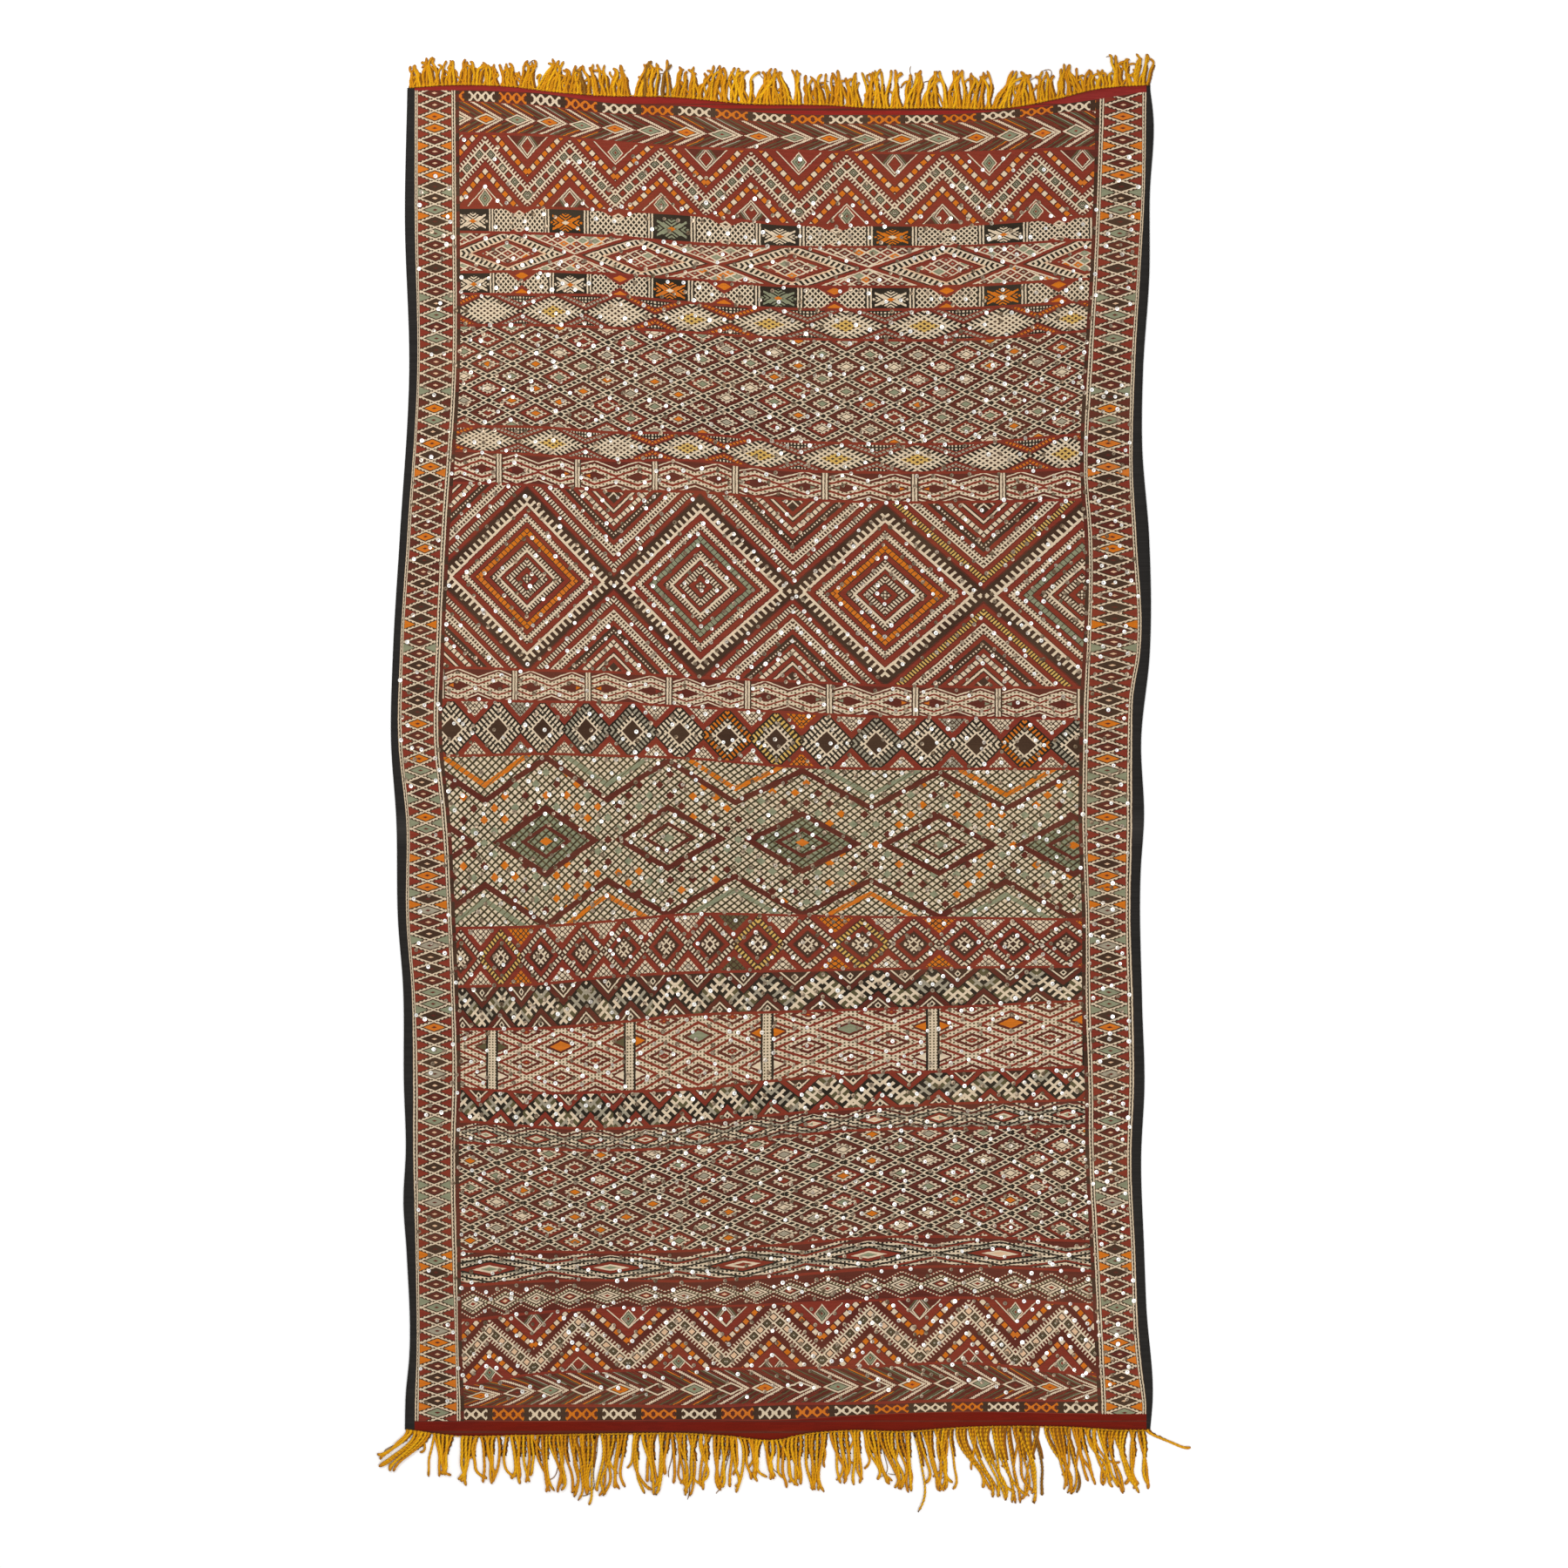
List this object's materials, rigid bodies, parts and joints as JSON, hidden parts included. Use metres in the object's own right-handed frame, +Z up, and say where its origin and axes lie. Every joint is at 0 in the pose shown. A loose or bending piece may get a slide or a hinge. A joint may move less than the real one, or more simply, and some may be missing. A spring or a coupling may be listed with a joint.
{
  "type": "berber kilim rug",
  "caption": "Long flat-woven wool rug with banded geometric brocade, black side edges, red hems, sewn-on sequins and a corded golden fringe at both ends, lying flat.",
  "frame": {"origin": "on the floor under the middle of the rug with its fringes", "axes": "+X across the rug, +Y along it towards the short fringe, +Z up from the floor"},
  "size_m": [1.6863, 3.0662, 0.0033],
  "materials": {
    "rug_wool": "flat-woven wool with brocaded bands in brick red, maroon, dark olive, cream, orange and sage",
    "fringe_wool": "golden plied wool cord",
    "sequin": "thin pressed metal, slightly dulled"
  },
  "bodies": {
    "root": {"kilim_cloth": "rug_wool", "fringe_top": "fringe_wool", "fringe_bottom": "fringe_wool"}
  },
  "joints": []
}
